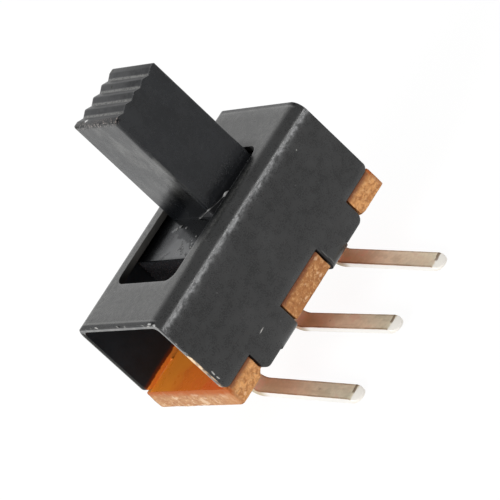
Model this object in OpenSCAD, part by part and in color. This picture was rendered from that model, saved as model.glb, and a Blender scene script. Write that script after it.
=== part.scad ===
// Slide switch, one pole and two positions, with three terminals bent for mounting on its side.
// The origin is in the middle of the cover's top face, which lies against the back of a panel.
// X runs along the slide, Z points out of the knob, and the legs leave towards -Y.
// All lengths are in millimetres, and the leans are in degrees.

/* [Cover] */
// Length of the cover along the slide
cover_l = 10.2; // [8.5:0.1:14]
// Width across the two side walls
cover_w = 5.4; // [5:0.1:8]
// Height of a side wall, from the top face down to the board
side_h = 3.8; // [3.2:0.1:6]
// Thickness of the cover's sheet
sheet_t = 0.25; // [0.2:0.01:0.35]
// Outside radius of the two long folds
fold_r = 0.5; // [0.4:0.05:0.8]
// Radius of the lower corners of the two walls
wall_corner_r = 0.25; // [0.05:0.05:0.6]

/* [Tabs of the cover] */
// Width of one tab, of which there are two on each side
tab_w = 2.18; // [1.6:0.02:2.6]
// Distance between the middles of the two tabs on one side
tab_spacing = 4.8; // [4:0.02:6]
// Radius of a tab's outer lower corner
tab_corner_r = 0.3; // [0.1:0.05:0.5]
// Width of the ear that is folded under the board, at the inner half of a tab
ear_w = 1.05; // [0.6:0.05:1.4]
// Reach of a folded ear from the outside of the wall
ear_reach = 1.0; // [0.6:0.05:1.3]
// Inside radius of an ear's fold
ear_bend_r = 0.12; // [0.08:0.01:0.2]

/* [Terminal board] */
// Thickness of the board
board_t = 0.9; // [0.6:0.05:1.6]
// Gap between a tab and each end of the notch that it passes through
notch_gap = 0.08; // [0.04:0.01:0.15]
// Gap all round a leg in its slit through the board
slit_gap = 0.02; // [0.01:0.01:0.05]

/* [Terminals] */
// Distance from one terminal to the next, which is also the slider's travel
pitch = 3.0; // [2.5:0.1:3.6]
// Thickness of the terminal strip
terminal_t = 0.25; // [0.2:0.01:0.35]
// Width of a leg
leg_w = 0.7; // [0.5:0.05:1]
// Distance from the row of terminals to the tips of the legs
leg_reach = 5.76; // [4.5:0.02:9]
// Straight drop of a leg from the board to its bend
leg_drop = 1.04; // [0.6:0.02:2]
// Inside radius of a leg's bend
leg_bend_r = 0.4; // [0.2:0.05:0.8]
// Length of the bevel on a leg's tip
tip_bevel = 0.4; // [0:0.05:1]
// Thickness left at the very tip
tip_t = 0.1; // [0.05:0.01:0.2]
// Radius of the two corners of a leg's tip, seen from above
tip_corner_r = 0.3; // [0.05:0.01:0.34]
// Lean of the two outer legs below the board's plane
outer_lean = 6.8; // [0:0.1:12]
// Lean of the middle leg below the board's plane
common_lean = 4.6; // [0:0.1:12]
// Width of a contact blade inside the cover
blade_w = 1.9; // [1.4:0.05:2.2]
// Height of a contact blade above the board
blade_h = 1.75; // [1.4:0.05:2]
// Chamfer on the upper corners of a blade
blade_chamfer = 0.35; // [0.1:0.05:0.6]
// Sideways swell of the stake that locks a leg under the board
stake_swell = 0.12; // [0.05:0.01:0.2]
// Height of that stake
stake_h = 0.2; // [0.1:0.05:0.4]

/* [Knob] */
// Length of the knob along the slide
knob_x = 2.82; // [2:0.02:3.5]
// Width of the knob across the slide
knob_y = 2.75; // [2:0.05:3.2]
// Height of the knob above the cover
knob_h = 5; // [2:0.1:9]
// Radius of the knob's four upright edges
knob_edge_r = 0.1; // [0.05:0.01:0.2]
// Number of grip ridges on the knob's end
ridge_count = 5; // [3:1:8]
// Flat length at each end of the grip, before the middle of the first crest
grip_land = 0.25; // [0.15:0.05:0.6]
// Radius of the ridges' crests
crest_r = 0.12; // [0.04:0.01:0.2]
// Depth of the grooves between the ridges
groove_depth = 0.12; // [0.08:0.01:0.25]

/* [Carrier under the knob] */
// Gap between the carrier and the underside of the cover's top
carrier_top_gap = 0.11; // [0.04:0.01:0.2]
// Gap between the carrier and each side wall
carrier_side_gap = 0.1; // [0.04:0.01:0.2]
// Gap between the carrier and the board
carrier_board_gap = 0.1; // [0.04:0.01:0.2]
// Chamfer along the carrier's two long top edges, clear of the cover's folds
carrier_chamfer = 0.15; // [0.1:0.01:0.4]
// Distance that the carrier stops short of the end of the cover
carrier_end_gap = 0.33; // [0.1:0.01:0.6]
// Gap between the knob and the end of the cover's slot
slot_end_gap = 0.19; // [0.05:0.01:0.3]
// Gap between the knob and each side of the cover's slot
slot_side_gap = 0.48; // [0.1:0.02:0.6]
// Corner radius of the cover's slot
slot_r = 0.45; // [0.1:0.05:0.8]

/* [Contact clip] */
// Thickness of the clip's strip
clip_t = 0.15; // [0.1:0.01:0.2]
// Width across the clip at its crown
clip_w = 1.9; // [1.5:0.05:2.2]
// Length of the clip past the blade contact at each end
clip_overhang = 0.7; // [0.4:0.05:0.9]
// Height of the crown above the board
clip_h = 2.62; // [2.3:0.02:2.7]
// Gap between a spring finger and the blade that it wipes
wipe_gap = 0.03; // [0.01:0.01:0.06]
// Gap between the clip and its pocket in the carrier
pocket_gap = 0.05; // [0.03:0.01:0.1]

/* [Hidden] */
$fn = 48;
past = 0.5;                                   // how far a cut runs past the face it leaves

cover_colour = "#3c3e3e";
board_colour = "#c8844a";
terminal_colour = "#b9a487";
slider_colour = "#2f3336";
clip_colour = "#b98d55";

board_top = -side_h;
board_bottom = board_top - board_t;
wall_y = cover_w / 2;                         // outside of a side wall
inner_y = wall_y - sheet_t;                   // inside of a side wall
ceiling = -sheet_t;                           // underside of the cover's top

slide = pitch;                                // the slider's travel
rest_x = slide / 2;                           // the knob's middle at rest, at the +X end
slot_l = knob_x + slide + 2 * slot_end_gap;
slot_w = knob_y + 2 * slot_side_gap;

carrier_l = cover_l - slide - 2 * carrier_end_gap;
carrier_w = 2 * (inner_y - carrier_side_gap);
carrier_top = ceiling - carrier_top_gap;
carrier_bottom = board_top + carrier_board_gap;
carrier_corner_r = 0.3;

clip_l = slide + 2 * clip_overhang;
crown_z = board_top + clip_h;                 // top of the clip's crown
clip_fold_r = clip_t / 2 + 0.1;               // middle radius of the folds beside the crown
wipe_y = terminal_t / 2 + wipe_gap + clip_t / 2;
wipe_z = board_top + 0.55 * blade_h;          // height at which the fingers wipe the blades
finger_end_z = board_top + 0.3;
finger_slit = 0.5;                            // gap between the two fingers on one side of the clip

// Places its outline, drawn in Y and Z, across the slide and gives it a length along X.
module along_x(length) rotate([90, 0, 90]) linear_extrude(length, center = true) children();

// A rectangle about the origin with four round corners.
module round_rect(x, y, r) {
    square([x - 2 * r, y], center = true);
    square([x, y - 2 * r], center = true);
    for (sx = [-1, 1], sy = [-1, 1])
        translate([sx * (x / 2 - r), sy * (y / 2 - r)]) circle(r);
}

// What a round corner takes off a lower right corner: the circle touches the X axis at the origin.
module corner_cut(r) {
    difference() {
        translate([0, -past]) square([r + past, r + past]);
        translate([0, r]) circle(r);
    }
}

// A quarter or less of a flat ring, from angle a0 to angle a1.
module arc_strip(r_in, r_out, a0, a1) {
    far = 2 * r_out;
    mid = (a0 + a1) / 2;
    difference() {
        intersection() {
            circle(r_out);
            polygon([[0, 0], [far * cos(a0), far * sin(a0)], [far * cos(mid), far * sin(mid)],
                [far * cos(a1), far * sin(a1)]]);
        }
        circle(r_in);
    }
}

// ---------------------------------------------------------------------------------------- cover

// Section of the channel: the top, two long folds and two walls that end at the board.
module channel_section() {
    translate([-wall_y + fold_r, -sheet_t]) square([cover_w - 2 * fold_r, sheet_t]);
    for (s = [0, 1]) mirror([s, 0]) {
        translate([wall_y - fold_r, -fold_r]) arc_strip(fold_r - sheet_t, fold_r, 0, 90);
        translate([inner_y, board_top]) square([sheet_t, side_h - fold_r]);
    }
}

// Flat of one tab, drawn in X and Z: its outer lower corner is round.
module tab_flat() {
    shoulder = board_t + 0.05;
    difference() {
        translate([-tab_w / 2, -shoulder]) square([tab_w, shoulder + past]);
        translate([tab_w / 2 - tab_corner_r, -shoulder]) corner_cut(tab_corner_r);
    }
}

// Section of one ear: down the wall, round its fold and along the underside of the board.
module ear_section() {
    bend_out = ear_bend_r + sheet_t;
    bend_z = board_bottom + ear_bend_r;
    translate([inner_y, bend_z]) square([sheet_t, board_top - bend_z]);
    translate([inner_y - ear_bend_r, bend_z]) arc_strip(ear_bend_r, bend_out, -90, 0);
    translate([wall_y - ear_reach, board_bottom - sheet_t]) square([ear_reach - bend_out, sheet_t]);
}

module tab() {
    translate([0, wall_y, board_top]) rotate([90, 0, 0]) linear_extrude(sheet_t) tab_flat();
    translate([(ear_w - tab_w) / 2, 0, 0]) along_x(ear_w) ear_section();
}

module cover() color(cover_colour) {
    difference() {
        union() {
            along_x(cover_l) channel_section();
            for (sx = [0, 1], sy = [0, 1])
                mirror([sx, 0, 0]) mirror([0, sy, 0]) translate([tab_spacing / 2, 0, 0]) tab();
        }
        translate([0, 0, -sheet_t - past]) linear_extrude(sheet_t + 2 * past)
            round_rect(slot_l, slot_w, slot_r);
        for (sx = [0, 1]) mirror([sx, 0, 0])
            translate([cover_l / 2 - wall_corner_r, 0, board_top]) rotate([90, 0, 0])
            linear_extrude(cover_w + 2 * past, center = true) corner_cut(wall_corner_r);
    }
}

// -------------------------------------------------------------------------------- terminal board

module terminal_board() color(board_colour) {
    translate([0, 0, board_bottom]) difference() {
        linear_extrude(board_t) square([cover_l, cover_w], center = true);
        translate([0, 0, -past]) linear_extrude(board_t + 2 * past) {
            for (sx = [-1, 1], sy = [-1, 1]) translate([sx * tab_spacing / 2, sy * wall_y])
                square([tab_w + 2 * notch_gap, 2 * (sheet_t + ear_bend_r)], center = true);
            for (i = [-1:1]) translate([i * pitch, 0])
                square([leg_w + 2 * slit_gap, terminal_t + 2 * slit_gap], center = true);
        }
    }
}

// ------------------------------------------------------------------------------------- terminals

// The bend of a leg about its own centre, from straight down to the leg's lean.
module leg_bend(lean) {
    out_r = leg_bend_r + terminal_t;
    far = 2 * out_r;
    intersection() {
        difference() {
            circle(out_r);
            circle(leg_bend_r);
        }
        translate([-far, -far]) square([2 * far, far]);
        rotate(lean) translate([0, -far]) square([far, 2 * far]);
    }
}

// Section of a leg: through the board, straight down, round its bend and out to its bevelled tip.
module leg_section(lean) {
    bend_y = -terminal_t / 2 - leg_bend_r;
    bend_z = board_bottom - leg_drop;
    run = (leg_reach + bend_y) / cos(lean);
    top_y = -leg_bend_r;
    under_y = top_y - terminal_t;
    translate([-terminal_t / 2, bend_z]) square([terminal_t, board_top - bend_z]);
    translate([bend_y, bend_z]) {
        leg_bend(lean);
        rotate(lean) polygon([[0, under_y], [0, top_y], [tip_bevel - run, top_y],
            [-run, under_y + tip_t], [-run, under_y]]);
    }
}

// Contact blade, drawn in X and Z, standing on the board.
module blade_flat() {
    half = blade_w / 2;
    polygon([[-half, 0], [half, 0], [half, blade_h - blade_chamfer], [half - blade_chamfer, blade_h],
        [blade_chamfer - half, blade_h], [-half, blade_h - blade_chamfer]]);
}

// What the two round corners of a tip take off the end of a leg.
module tip_corners(lean) {
    bend_y = -terminal_t / 2 - leg_bend_r;
    run = (leg_reach + bend_y) / cos(lean);
    under_z = -leg_bend_r - terminal_t;
    r = min(tip_corner_r, 0.45 * leg_w);
    translate([0, bend_y, board_bottom - leg_drop]) rotate([lean, 0, 0])
        translate([0, -run, under_z - past]) linear_extrude(terminal_t + 2 * past)
        for (s = [0, 1]) mirror([s, 0]) translate([leg_w / 2 - r, 0]) corner_cut(r);
}

module terminal(lean) color(terminal_colour) {
    difference() {
        along_x(leg_w) leg_section(lean);
        tip_corners(lean);
    }
    translate([0, terminal_t / 2, board_top]) rotate([90, 0, 0]) linear_extrude(terminal_t) blade_flat();
    translate([0, 0, board_bottom - stake_h / 2])
        cube([leg_w + 2 * stake_swell, terminal_t, stake_h], center = true);
}

module terminal_left() translate([-pitch, 0, 0]) terminal(outer_lean);
module terminal_common() terminal(common_lean);
module terminal_right() translate([pitch, 0, 0]) terminal(outer_lean);

// ---------------------------------------------------------------------------------------- slider

// Side view of the knob, drawn in X and Z from its foot: the grip is a wave of round crests and sharp
// grooves, whose flanks leave each groove along the tangent to the next crest.
module knob_side(height) {
    pitch_x = (knob_x - 2 * grip_land) / (ridge_count - 1);
    to_crest = [pitch_x / 2, groove_depth - crest_r];
    flank = atan2(to_crest.y, to_crest.x) + asin(crest_r / norm(to_crest));
    reach = sqrt(to_crest * to_crest - crest_r * crest_r);
    tangent = [reach * cos(flank), reach * sin(flank)];
    low = height - groove_depth;
    grooves = [for (i = [0:ridge_count - 2]) let (x = grip_land + (i + 0.5) * pitch_x)
        each [[x - tangent.x, low + tangent.y], [x, low], [x + tangent.x, low + tangent.y]]];
    translate([-knob_x / 2, 0]) {
        polygon(concat([[0, 0], [0, height - knob_edge_r], [knob_edge_r, height],
            [grip_land, height]], grooves, [[knob_x - grip_land, height], [knob_x - knob_edge_r, height],
            [knob_x, height - knob_edge_r], [knob_x, 0]]));
        for (i = [0:ridge_count - 1])
            translate([grip_land + i * pitch_x, height - crest_r]) circle(crest_r);
        for (x = [knob_edge_r, knob_x - knob_edge_r])
            translate([x, height - knob_edge_r]) circle(knob_edge_r);
    }
}

module knob() {
    height = knob_h - carrier_top;
    translate([0, 0, carrier_top]) intersection() {
        linear_extrude(height) round_rect(knob_x, knob_y, knob_edge_r);
        rotate([90, 0, 0]) linear_extrude(knob_y, center = true) knob_side(height);
    }
}

// Section of the carrier between the walls, with its two top edges chamfered.
module carrier_section() {
    half = carrier_w / 2;
    low_z = carrier_top - carrier_chamfer;
    top_y = half - carrier_chamfer;
    polygon([[-half, carrier_bottom], [half, carrier_bottom], [half, low_z], [top_y, carrier_top],
        [-top_y, carrier_top], [-half, low_z]]);
}

module carrier() {
    pocket_top = crown_z + pocket_gap;
    groove_w = terminal_t + 2 * (wipe_gap + clip_t);
    groove_top = board_top + blade_h + 2 * pocket_gap;
    difference() {
        intersection() {
            translate([0, 0, carrier_bottom]) linear_extrude(carrier_top - carrier_bottom)
                round_rect(carrier_l, carrier_w, carrier_corner_r);
            along_x(carrier_l) carrier_section();
        }
        translate([0, 0, carrier_bottom - past])
            linear_extrude(pocket_top - carrier_bottom + past)
            square([clip_l + 2 * pocket_gap, clip_w + 2 * pocket_gap], center = true);
        translate([0, 0, carrier_bottom - past])
            linear_extrude(groove_top - carrier_bottom + past)
            square([carrier_l + 2 * past, groove_w], center = true);
    }
}

module slider() color(slider_colour) translate([rest_x, 0, 0]) {
    knob();
    carrier();
}

// ---------------------------------------------------------------------------------- contact clip

// A straight stretch of strip from one point to another, with round ends.
module strip(from, to) {
    step = to - from;
    for (end = [from, to]) translate(end) circle(clip_t / 2);
    translate(from) rotate(atan2(step.y, step.x)) translate([0, -clip_t / 2])
        square([norm(step), clip_t]);
}

// Section of half the clip: the crown, its fold, and a finger that closes on the blade and flares.
module clip_half_section() {
    side_y = (clip_w - clip_t) / 2;
    fold_y = side_y - clip_fold_r;
    fold_z = crown_z - clip_t / 2 - clip_fold_r;
    knee_z = wipe_z + 0.75;
    translate([0, crown_z - clip_t]) square([fold_y, clip_t]);
    translate([fold_y, fold_z])
        arc_strip(clip_fold_r - clip_t / 2, clip_fold_r + clip_t / 2, 0, 90);
    strip([side_y, fold_z], [side_y, knee_z]);
    strip([side_y, knee_z], [wipe_y, wipe_z]);
    strip([wipe_y, wipe_z], [wipe_y + 0.3, finger_end_z]);
}

module contact_clip() color(clip_colour) translate([rest_x, 0, 0]) difference() {
    along_x(clip_l) for (s = [0, 1]) mirror([s, 0]) clip_half_section();
    translate([-finger_slit / 2, -clip_w, finger_end_z - past])
        cube([finger_slit, 2 * clip_w, wipe_z + 0.75 - finger_end_z + past]);
}

cover();
terminal_board();
terminal_left();
terminal_common();
terminal_right();
slider();
contact_clip();
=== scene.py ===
"""Slide switch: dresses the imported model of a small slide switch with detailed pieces, finishes and a studio.

Every size is in metres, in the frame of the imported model: X along the slide, Z out of the knob, and the legs
leave towards -Y. Sizes and colours can be changed in the sidebar before the pieces are made.
"""

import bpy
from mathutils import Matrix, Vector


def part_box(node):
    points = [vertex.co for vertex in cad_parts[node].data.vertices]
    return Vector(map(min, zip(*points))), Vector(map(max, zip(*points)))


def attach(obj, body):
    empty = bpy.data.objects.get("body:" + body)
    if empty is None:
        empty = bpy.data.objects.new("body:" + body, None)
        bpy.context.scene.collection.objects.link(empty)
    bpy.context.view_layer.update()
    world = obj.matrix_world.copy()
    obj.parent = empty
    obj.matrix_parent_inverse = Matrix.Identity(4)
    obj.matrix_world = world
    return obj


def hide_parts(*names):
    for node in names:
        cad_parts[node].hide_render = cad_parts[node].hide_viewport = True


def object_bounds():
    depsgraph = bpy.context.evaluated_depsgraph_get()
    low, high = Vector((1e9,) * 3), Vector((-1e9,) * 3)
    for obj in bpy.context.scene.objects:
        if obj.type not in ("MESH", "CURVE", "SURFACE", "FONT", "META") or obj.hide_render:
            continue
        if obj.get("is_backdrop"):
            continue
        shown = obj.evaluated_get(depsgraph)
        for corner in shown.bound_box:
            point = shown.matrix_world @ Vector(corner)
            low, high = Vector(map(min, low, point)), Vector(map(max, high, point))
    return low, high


bl_info = {
    "name": "Slide Switch",
    "version": (1, 0, 0),
    "blender": (4, 5, 0),
    "location": "3D View > Sidebar > Slide Switch",
    "description": "Makes a slide switch with a folded steel cover, a phenolic board and bent flat legs",
    "category": "Mesh",
}

from contextlib import contextmanager
from functools import reduce, wraps

import bmesh
import bpy
import numpy as np
from bpy.props import FloatProperty, FloatVectorProperty, PointerProperty
from bpy.types import Operator, Panel, PropertyGroup
from mathutils import Matrix, Vector

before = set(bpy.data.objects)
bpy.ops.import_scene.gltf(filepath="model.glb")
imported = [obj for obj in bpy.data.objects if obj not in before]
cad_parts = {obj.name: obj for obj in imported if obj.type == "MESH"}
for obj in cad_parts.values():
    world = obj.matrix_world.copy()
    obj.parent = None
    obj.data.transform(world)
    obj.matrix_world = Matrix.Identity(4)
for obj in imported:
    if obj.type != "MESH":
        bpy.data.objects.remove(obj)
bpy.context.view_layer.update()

MM = 0.001
COVER_LOW, COVER_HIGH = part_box("cover")
BOARD_LOW, BOARD_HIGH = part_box("terminal_board")
BLADE_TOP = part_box("terminal_common")[1][2]
COVER_END, COVER_SIDE = COVER_HIGH[:2]
BOARD_END, BOARD_SIDE, BOARD_TOP, BOARD_FOOT = *BOARD_HIGH, BOARD_LOW[2]
LEG_PITCH = sum(x[0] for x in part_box("terminal_right")) / 2
KNOB_FACE = 0.09 * MM
KNOB_HALF = 1.375 * MM
SHEET = 0.25 * MM


# ------------------------------------------------------------------------------------- sizes and colours


def length(label, about, value, high=0.02):
    """A length for the sidebar. The value is in millimetres."""
    return FloatProperty(
        name=label, description=about, default=value * MM, min=0.0, max=high,
        precision=6, step=0.001, unit="LENGTH",
    )


def angle(label, about, value):
    """An angle for the sidebar. The value is in degrees."""
    return FloatProperty(name=label, description=about, default=np.radians(value), subtype="ANGLE")


def amount(label, about, value, high, low=0.0):
    """A plain number for the sidebar."""
    return FloatProperty(name=label, description=about, default=value, min=low, max=high)


def colour(label, about, value):
    """A colour for the sidebar, in linear light."""
    return FloatVectorProperty(
        name=label, description=about, default=value, min=0.0, max=1.0, size=3, subtype="COLOR"
    )


class SlideSwitchCover(PropertyGroup):
    """Sizes and colours of the folded cover."""

    sheet: length("Sheet", "Thickness of the steel sheet", SHEET / MM)
    fold: length("Fold radius", "Outside radius of the two long folds", 0.5)
    slot_length: length("Slot length", "Length of the slot for the knob", 6.2)
    slot_width: length("Slot width", "Width of the slot for the knob", 3.71)
    slot_corner: length("Slot corner", "Radius of the slot's corners", 0.45)
    tab_width: length("Tab width", "Width of one tab", 2.18)
    tab_spacing: length("Tab spacing", "Distance between the middles of two tabs", 4.8)
    tab_drop: length("Tab drop", "How far a tab's shoulder reaches below the wall", 0.95)
    tab_corner: length("Tab corner", "Radius of a tab's outer lower corner", 0.3)
    wall_corner: length("Wall corner", "Radius of a wall's lower corners", 0.25)
    ear_width: length("Ear width", "Width of the ear folded under the board", 1.05)
    ear_reach: length("Ear reach", "Reach of a folded ear from the outside of the wall", 1.0)
    ear_fold: length("Ear fold", "Inside radius of an ear's fold", 0.12)
    rim_round: length("Rim rounding", "Rounding of the sheet's cut edges", 0.035)
    finish: colour("Finish", "Colour of the black finish", (0.027, 0.0275, 0.0275))
    # The bare colour also paints the highlight along the long folds.
    bare: colour("Bare steel", "Colour where the finish has worn through", (0.48, 0.485, 0.49))


class SlideSwitchBoard(PropertyGroup):
    """Sizes and colours of the phenolic board."""

    notch_gap: length("Notch gap", "Gap between a tab and the end of its notch", 0.08)
    slit_gap: length("Slit gap", "Gap round a leg in its slit", 0.02)
    ragged: length("Ragged edge", "How deep the punched edges are torn", 0.035)
    rollover: length("Rollover", "How far the upper edge is drawn down by the punch", 0.09)
    face: colour("Face", "Colour of the smooth faces", (0.96, 0.235, 0.030))
    core: colour("Core", "Colour of the torn paper core", (0.86, 0.42, 0.15))


class SlideSwitchTerminals(PropertyGroup):
    """Sizes and colours of the three terminals."""

    thickness: length("Thickness", "Thickness of the strip", 0.25)
    leg_width: length("Leg width", "Width of a leg", 0.7)
    blade_width: length("Blade width", "Width of a contact blade", 1.9)
    blade_chamfer: length("Blade chamfer", "Chamfer on a blade's upper corners", 0.35)
    reach: length("Reach", "Distance from the row of terminals to the tips", 5.76)
    drop: length("Drop", "Straight drop from the board to the bend", 1.04)
    bend: length("Bend radius", "Inside radius of a leg's bend", 0.4)
    stake: length("Stake", "Sideways swell of the stake under the board", 0.12)
    stake_height: length("Stake height", "Height of the stake", 0.2)
    tip_bevel: length("Tip bevel", "Length of the bevel at the tip", 0.4)
    tip: length("Tip", "Thickness left at the tip", 0.1)
    tip_corner: length("Tip corner", "Radius of a tip's two corners", 0.3)
    outer_lean: angle("Outer lean", "Lean of the two outer legs", 6.8)
    middle_lean: angle("Middle lean", "Lean of the middle leg", 4.6)
    tin: colour("Tinning", "Colour of the tinned tips", (0.90, 0.80, 0.60))
    copper: colour("Root", "Colour of the copper alloy near the board", (0.62, 0.55, 0.385))


class SlideSwitchSlider(PropertyGroup):
    """Sizes and colours of the slider and its clip."""

    edge_round: length("Edge rounding", "Rounding of the moulded edges", 0.05)
    plastic: colour("Plastic", "Colour of the moulded plastic", (0.0035, 0.0045, 0.0062))
    # This colour also paints the lit patch on the carrier's top.
    dust: colour("Dust", "Colour of the dust on the carrier", (0.115, 0.12, 0.126))
    shaving: length("Shaving", "Thickness of the thread shaved off the knob's foot", 0.022)
    rubbed: colour("Rubbed plastic", "Colour of the shaved thread", (0.80, 0.80, 0.78))
    bronze: colour("Clip", "Colour of the contact clip", (0.60, 0.38, 0.17))


class SlideSwitchStage(PropertyGroup):
    """The studio: camera, floor and lamps."""

    lens: amount("Lens", "Focal length in millimetres", 329.3, 1000, 10)
    distance: length("Distance", "From the camera to the point it looks at", 166.88, 1.0)
    azimuth: angle("Azimuth", "Turn of the camera about Z", -24.33)
    elevation: angle("Elevation", "Height of the camera", 24.20)
    roll: angle("Roll", "Turn of the camera about its own axis", -46.9)
    aim: FloatVectorProperty(
        name="Aim",
        description="The point the camera looks at",
        default=(0.898 * MM, 0.405 * MM, -3.114 * MM),
        size=3,
        subtype="TRANSLATION",
        precision=6,
    )
    key_power: amount("Key", "Power of the key lamp in watts", 0.035, 10)
    fill_power: amount("Fill", "Power of the fill lamp in watts", 0.13, 10)
    ambient: amount("Ambient", "Light from all sides", 0.55, 5)


class SlideSwitchSettings(PropertyGroup):
    """All the settings of the switch."""

    cover: PointerProperty(type=SlideSwitchCover)
    board: PointerProperty(type=SlideSwitchBoard)
    terminals: PointerProperty(type=SlideSwitchTerminals)
    slider: PointerProperty(type=SlideSwitchSlider)
    stage: PointerProperty(type=SlideSwitchStage)


# ------------------------------------------------------------------------------------------------ surfaces


def stations(breaks, step):
    """Places from the first break to the last, with every break kept and no gap wider than the step."""
    spans = zip(breaks[:-1], breaks[1:])
    parts = [np.linspace(a, b, max(int(np.ceil((b - a) / step)), 1), endpoint=False) for a, b in spans]
    return np.append(np.concatenate(parts), breaks[-1])


def mirrored(places):
    """The same places on both sides of zero, in rising order. The first place is zero."""
    return np.concatenate([-places[:0:-1], places])


def grid_faces(rows, columns, looped=False):
    """Quads between neighbouring points of a grid. A looped grid joins its last column to its first."""
    index = np.arange(rows * columns).reshape(rows, columns)
    if looped:
        index = np.hstack([index, index[:, :1]])
    corners = [index[:-1, :-1], index[:-1, 1:], index[1:, 1:], index[1:, :-1]]
    return np.stack(corners, axis=-1).reshape(-1, 4)


def welded(points, faces, reach=1e-7):
    """Points nearer than the reach become one, and the faces follow them."""
    keys = np.round(points / reach).astype(np.int64)
    _, first, place = np.unique(keys, axis=0, return_index=True, return_inverse=True)
    return points[first], place.reshape(-1)[faces]


def joined(patches, outward=None):
    """One welded surface from (grid, looped) patches. Each grid is rows by columns by 3, and outward gives
    the direction that a patch's quads have to face, as a grid of the same size."""
    points, faces, count = [], [], 0
    for number, (grid, looped) in enumerate(patches):
        rows, columns = grid.shape[:2]
        quads = grid_faces(rows, columns, looped)
        flat = grid.reshape(-1, 3)
        if outward is not None:
            across = flat[quads[:, 2]] - flat[quads[:, 0]]
            along = flat[quads[:, 3]] - flat[quads[:, 1]]
            facing = (np.cross(across, along) * outward[number].reshape(-1, 3)[quads[:, 0]]).sum(axis=1)
            quads = np.where(facing[:, None] < 0, quads[:, ::-1], quads)
        points.append(flat)
        faces.append(quads + count)
        count += len(flat)
    return welded(np.concatenate(points), np.concatenate(faces))


def waves(points, scale, seed, count=7):
    """Smooth noise from -1 to 1: the mean of a few sine waves in seeded random directions, whose lengths
    lie about the scale."""
    draw = np.random.default_rng(seed)
    direction = draw.normal(size=(count, 3))
    direction /= np.linalg.norm(direction, axis=1, keepdims=True)
    pace = 2 * np.pi / (scale * draw.uniform(0.6, 1.6, count))
    phase = draw.uniform(0, 2 * np.pi, count)
    return np.sin(points @ (direction * pace[:, None]).T + phase).mean(axis=-1) * 1.6


def new_mesh(name, points, faces):
    """A mesh from an array of points and an array, or a list, of faces."""
    mesh = bpy.data.meshes.new(name)
    mesh.from_pydata(points.tolist(), [], faces.tolist() if hasattr(faces, "tolist") else faces)
    mesh.update()
    mesh.shade_smooth()
    return mesh


@contextmanager
def edited(mesh):
    """Opens a mesh for edits, and writes them back."""
    shape = bmesh.new()
    shape.from_mesh(mesh)
    yield shape
    shape.to_mesh(mesh)
    shape.free()


def turned_out(shape):
    """Turns all the faces outwards."""
    bmesh.ops.recalc_face_normals(shape, faces=shape.faces)


def linked(name, data):
    """A new object in the scene."""
    made = bpy.data.objects.new(name, data)
    bpy.context.scene.collection.objects.link(made)
    return made


def new_piece(name, mesh, body, stands_for, materials):
    """Puts a finished mesh into the scene, ties it to its body and hides the node it stands for."""
    piece = linked(name, mesh)
    for material in materials:
        mesh.materials.append(material)
    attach(piece, body)
    if stands_for:
        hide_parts(*stands_for)
    return piece


def closed_piece(name, body, stands_for, material, grids):
    """One piece from grids that are looped in one direction, with their open ends filled."""
    mesh = new_mesh(name, *joined([(grid, True) for grid in grids]))
    with edited(mesh) as shape:
        bmesh.ops.holes_fill(shape, edges=[e for e in shape.edges if e.is_boundary], sides=0)
        turned_out(shape)
    mesh.shade_smooth()
    return new_piece(name, mesh, body, stands_for, [material])


def even_shading(piece, keep_sharp):
    """Lets the large faces of a piece lead its shading."""
    even = piece.modifiers.new("Even shading", "WEIGHTED_NORMAL")
    even.weight = 80
    even.keep_sharp = keep_sharp


def round_edges(piece, width, segments, sharp):
    """Rounds every sharp edge of a piece, then keeps its flat faces flat in their shading."""
    bevel = piece.modifiers.new("Round edges", "BEVEL")
    bevel.width = width
    bevel.segments = segments
    bevel.limit_method = "ANGLE"
    bevel.angle_limit = np.radians(sharp)
    bevel.miter_outer = "MITER_ARC"
    even_shading(piece, True)


# ---------------------------------------------------------------------------------------- shader building


def plug(socket, value):
    """Feeds a shader's socket with a field, a colour of three numbers or a plain value."""
    if isinstance(value, Field):
        socket.id_data.links.new(value.socket, socket)
    else:
        socket.default_value = (*value, 1.0) if socket.type == "RGBA" else value


def node(tree, kind, inputs, output=0, **options):
    """Adds a shader node with its inputs and options, and gives one of its outputs as a field."""
    made = tree.nodes.new(kind)
    for key, value in options.items():
        setattr(made, key, value)
    for key, value in inputs.items():
        plug(made.inputs[key], value)
    return Field(made.outputs[output])


def math_node(operation, swapped=False, clamp=False):
    """Makes a method of the class below, which puts a Math node behind the field."""

    def act(field, other=0.0):
        first, second = (other, field) if swapped else (field, other)
        return field.node("ShaderNodeMath", {0: first, 1: second}, operation=operation, use_clamp=clamp)

    return act


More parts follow.
